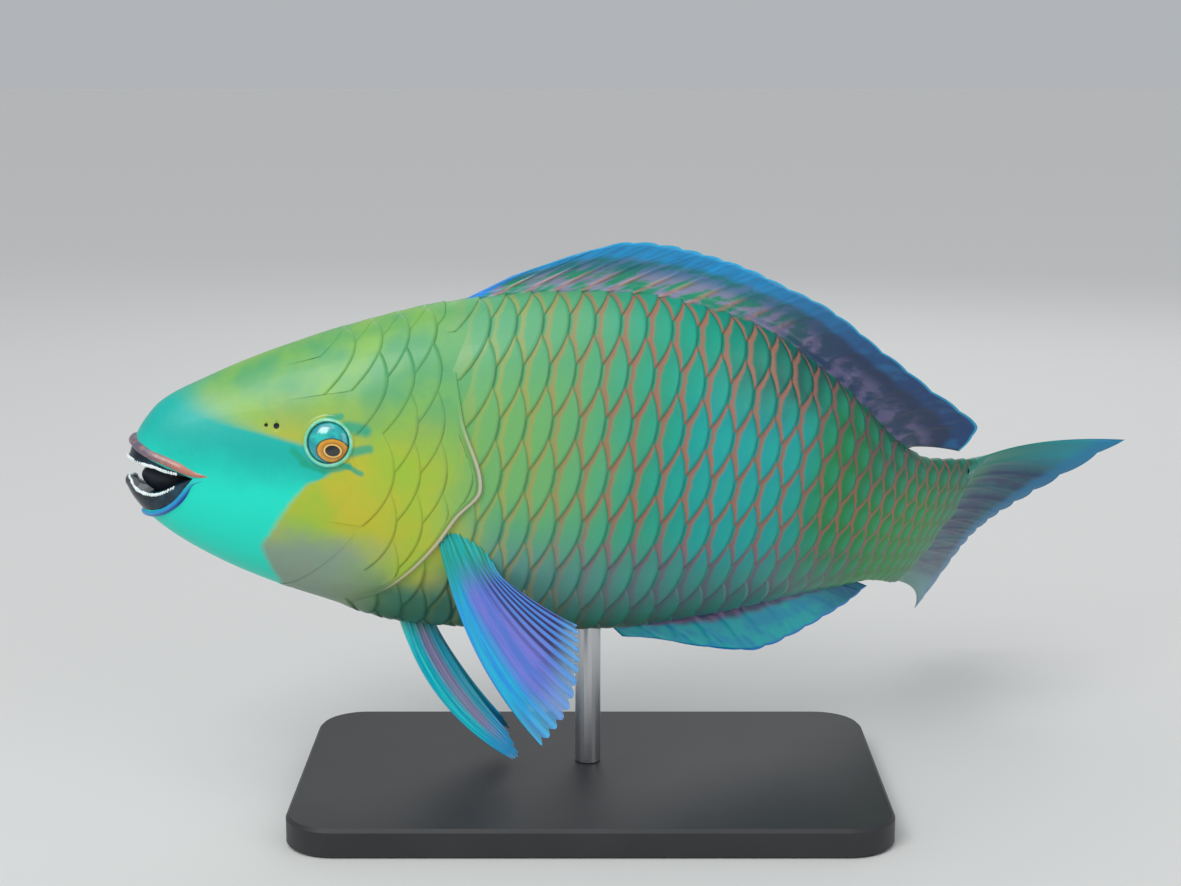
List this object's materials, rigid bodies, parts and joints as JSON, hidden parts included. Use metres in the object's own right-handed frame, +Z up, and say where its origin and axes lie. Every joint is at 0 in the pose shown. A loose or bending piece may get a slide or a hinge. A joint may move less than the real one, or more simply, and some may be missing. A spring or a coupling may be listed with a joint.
{
  "type": "parrotfish",
  "caption": "Life-size still model of a parrotfish swimming with its tail swung aside, its beak a little open, on a flat base with one rod.",
  "frame": {"origin": "centre of the underside of the stand's base", "axes": "+X towards the tail along the base's long side, +Y away from the fish's left flank, +Z up"},
  "size_m": [0.3292, 0.1963, 0.1734],
  "materials": {
    "skin": "painted scaled skin, satin, turquoise and green with salmon scale edges",
    "fin": "painted fin rays and membrane, blue and turquoise",
    "beak": "polished dark beak plates with white cutting edges",
    "eye": "glossy eye with a golden iris",
    "stand_base": "satin black",
    "stand_rod": "brushed"
  },
  "bodies": {
    "root": {"head": "skin", "beak_upper": "beak", "beak_lower": "beak", "eye_left": "eye", "eye_right": "eye", "trunk": "skin", "tail": "skin", "tail_stalk": "skin", "dorsal_fin_front": "fin", "dorsal_fin_rear": "fin", "anal_fin": "fin", "caudal_fin_upper": "fin", "caudal_fin_lower": "fin", "pectoral_fin_left": "fin", "pectoral_fin_right": "fin", "pelvic_fin_left": "fin", "pelvic_fin_right": "fin", "stand_base": "stand_base", "stand_rod": "stand_rod"}
  },
  "joints": []
}
